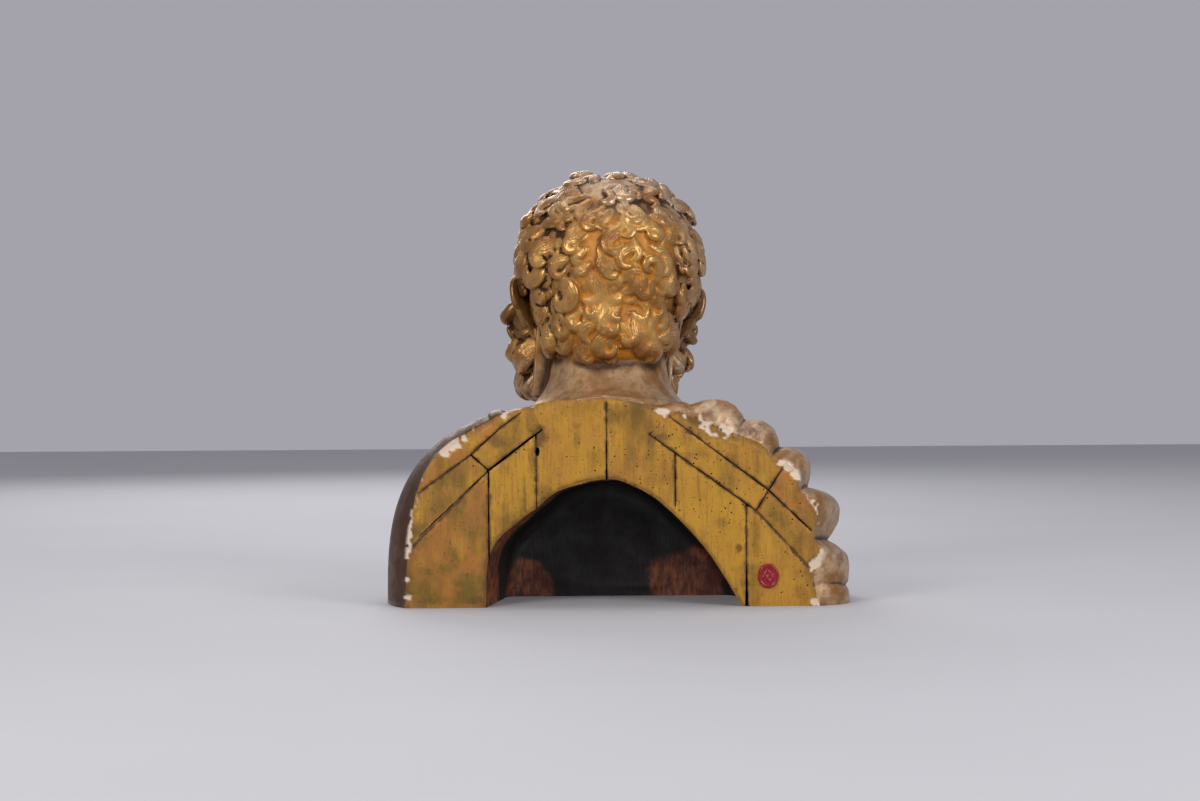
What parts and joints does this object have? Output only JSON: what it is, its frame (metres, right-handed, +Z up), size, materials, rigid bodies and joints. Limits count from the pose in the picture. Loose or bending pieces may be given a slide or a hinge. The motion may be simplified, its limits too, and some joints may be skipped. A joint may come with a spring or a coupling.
{
  "type": "carved wooden bust",
  "caption": "Life-size gilded bust of a bearded man with curly hair and a mantle, glued up from boards, with a flat back hollowed by an arch.",
  "frame": {"origin": "under the middle of the bust, on the surface that it stands on", "axes": "+Z up, the bust faces -Y, its left is +X, its flat back faces +Y"},
  "size_m": [0.4858, 0.2538, 0.4554],
  "materials": {
    "boards": "worn ochre paint behind, worn gilding in front",
    "gilded_carving": "worn burnished gilding over wood",
    "wax": "dull red sealing wax"
  },
  "bodies": {
    "root": {"left_foot_block": "boards", "left_outer_stave": "boards", "left_centre_stave": "boards", "left_lower_slope_board": "boards", "left_upper_slope_board": "boards", "left_shoulder_strip": "boards", "right_centre_stave": "boards", "right_inner_stave": "boards", "right_foot_block": "boards", "right_corner_board": "boards", "right_slope_board": "boards", "right_shoulder_strip": "boards", "right_edge_block": "boards", "head": "gilded_carving", "wax_seal": "wax"}
  },
  "joints": []
}
